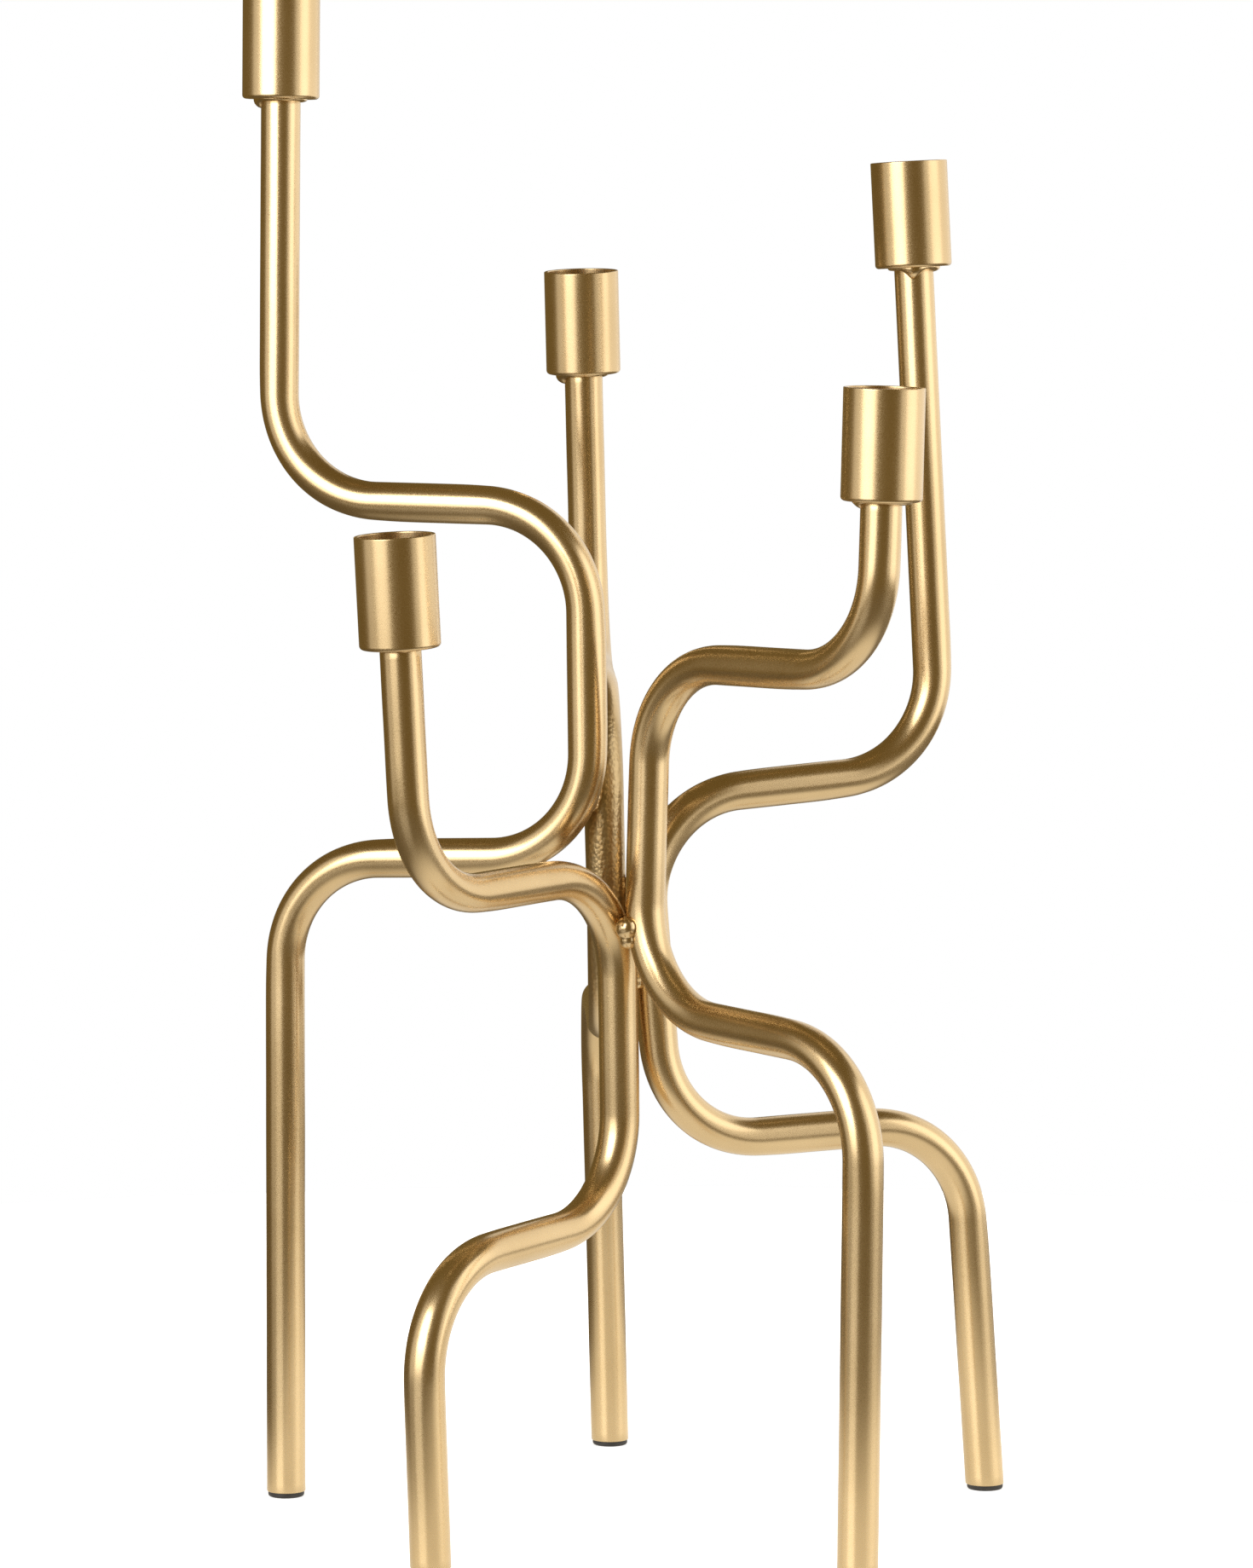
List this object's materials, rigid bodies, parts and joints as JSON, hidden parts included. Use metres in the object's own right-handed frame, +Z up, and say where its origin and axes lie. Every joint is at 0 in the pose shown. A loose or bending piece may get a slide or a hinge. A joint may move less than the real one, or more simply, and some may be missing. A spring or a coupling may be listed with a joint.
{
  "type": "candelabra",
  "caption": "Tabletop candelabra: bent round tubes welded side by side at the middle, each rising from its own foot to a plain cylindrical candle cup.",
  "frame": {"origin": "middle of the whole object's box, on the table plane", "axes": "+Z up; +X to the right and -Y towards the viewer in the usual front view"},
  "size_m": [0.2542, 0.2532, 0.5015],
  "materials": {
    "satin_gold": "satin gold metallic paint with a fine grain",
    "foot_plastic": "matte black moulded plastic"
  },
  "bodies": {
    "root": {"candle_cup_back": "satin_gold", "candle_cup_back_left": "satin_gold", "candle_cup_back_right": "satin_gold", "candle_cup_front_left": "satin_gold", "candle_cup_front_right": "satin_gold", "centre_weld_back_left": "satin_gold", "centre_weld_back_right": "satin_gold", "centre_weld_front": "satin_gold", "centre_weld_left": "satin_gold", "centre_weld_right": "satin_gold", "cup_weld_back": "satin_gold", "cup_weld_back_left": "satin_gold", "cup_weld_back_right": "satin_gold", "cup_weld_front_left": "satin_gold", "cup_weld_front_right": "satin_gold", "foot_plug_back": "foot_plastic", "foot_plug_back_left": "foot_plastic", "foot_plug_back_right": "foot_plastic", "foot_plug_front_left": "foot_plastic", "foot_plug_front_right": "foot_plastic", "tube_back": "satin_gold", "tube_back_left": "satin_gold", "tube_back_right": "satin_gold", "tube_front_left": "satin_gold", "tube_front_right": "satin_gold"}
  },
  "joints": []
}
